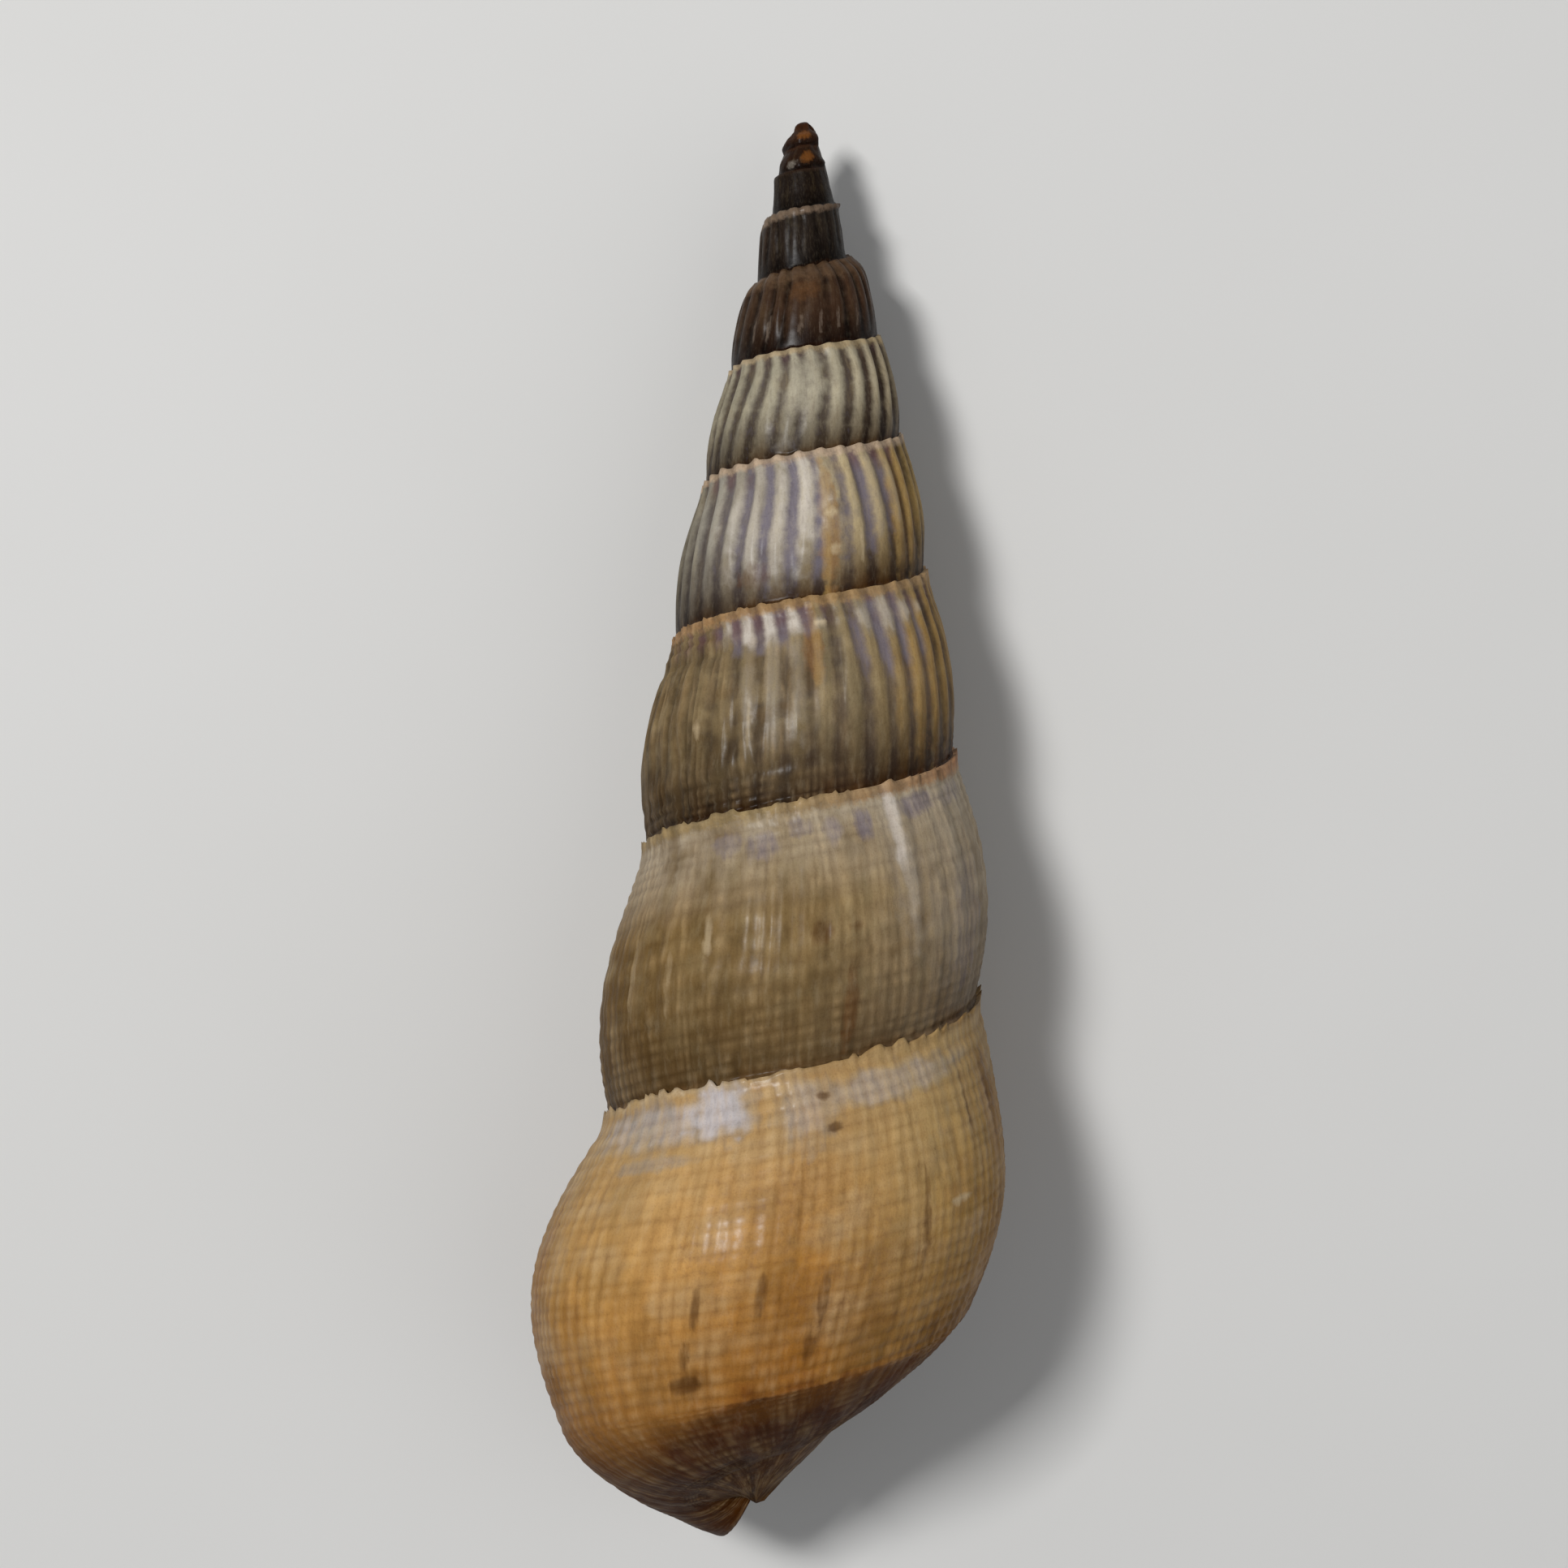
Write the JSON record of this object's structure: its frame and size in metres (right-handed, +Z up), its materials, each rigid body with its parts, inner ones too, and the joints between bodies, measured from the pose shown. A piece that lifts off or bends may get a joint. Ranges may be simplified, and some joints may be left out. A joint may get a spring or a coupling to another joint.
{
  "type": "snail shell",
  "caption": "Tall right-handed spiral river snail shell with ribbed turns, a wide last turn and an oval aperture, lying on its side.",
  "frame": {"origin": "on the surface the shell lies on, under the middle of its bounding box", "axes": "+Y along the length towards the apex, +Z up from the surface, +X to the right when seen from above with the apex away from the viewer"},
  "size_m": [0.0154, 0.0464, 0.0148],
  "materials": {
    "shell": "semi-gloss aragonite with a thin brown skin, tan on the last turn, grey-lilac on the middle turns and near black at the apex"
  },
  "bodies": {
    "root": {"shell": "shell"}
  },
  "joints": []
}
